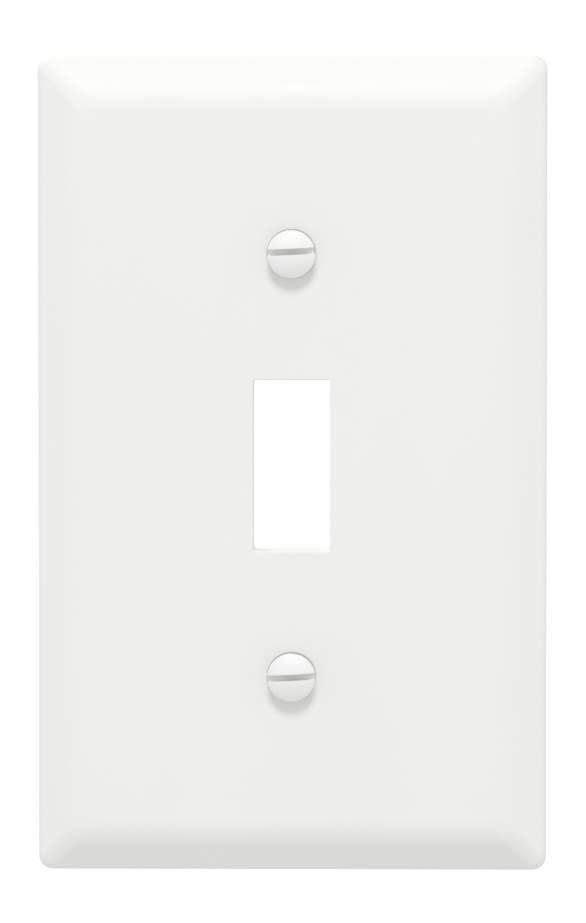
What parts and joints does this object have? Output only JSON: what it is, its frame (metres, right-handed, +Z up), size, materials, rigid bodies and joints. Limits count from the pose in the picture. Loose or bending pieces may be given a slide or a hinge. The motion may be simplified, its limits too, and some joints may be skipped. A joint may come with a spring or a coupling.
{
  "type": "wall plate cover",
  "caption": "Bevelled switch wall plate with a rectangular toggle opening, a hollow back, and captive slotted oval-head screws in countersunk holes.",
  "frame": {"origin": "on the wall plane, at the middle of the plate's back, midway between the two screws", "axes": "+X to the right as seen from the room, +Y into the wall along the screws, +Z up; the face looks along -Y"},
  "size_m": [0.0728, 0.017, 0.1168],
  "materials": {
    "plate_plastic": "white moulded thermoplastic, soft gloss",
    "screw_paint": "white paint on the head, bright zinc on the shank",
    "washer_nylon": "natural nylon, matte"
  },
  "bodies": {
    "plate": {"wall_plate": "plate_plastic"},
    "upper_washer": {"upper_retaining_washer": "washer_nylon"},
    "upper_screw": {"upper_screw": "screw_paint"},
    "lower_washer": {"lower_retaining_washer": "washer_nylon"},
    "lower_screw": {"lower_screw": "screw_paint"}
  },
  "joints": [
    {"name": "upper_screw_travel", "type": "slide", "parent": "plate", "child": "upper_washer", "axis": [0, 1, 0], "range_m": [0, 0.0017]},
    {"name": "upper_screw_turn", "type": "hinge", "parent": "upper_washer", "child": "upper_screw", "pos_m": [0, 0, 0.03016], "axis": [0, 1, 0], "continuous": true},
    {"name": "lower_screw_travel", "type": "slide", "parent": "plate", "child": "lower_washer", "axis": [0, 1, 0], "range_m": [0, 0.0017]},
    {"name": "lower_screw_turn", "type": "hinge", "parent": "lower_washer", "child": "lower_screw", "pos_m": [0, 0, -0.03016], "axis": [0, 1, 0], "continuous": true}
  ]
}
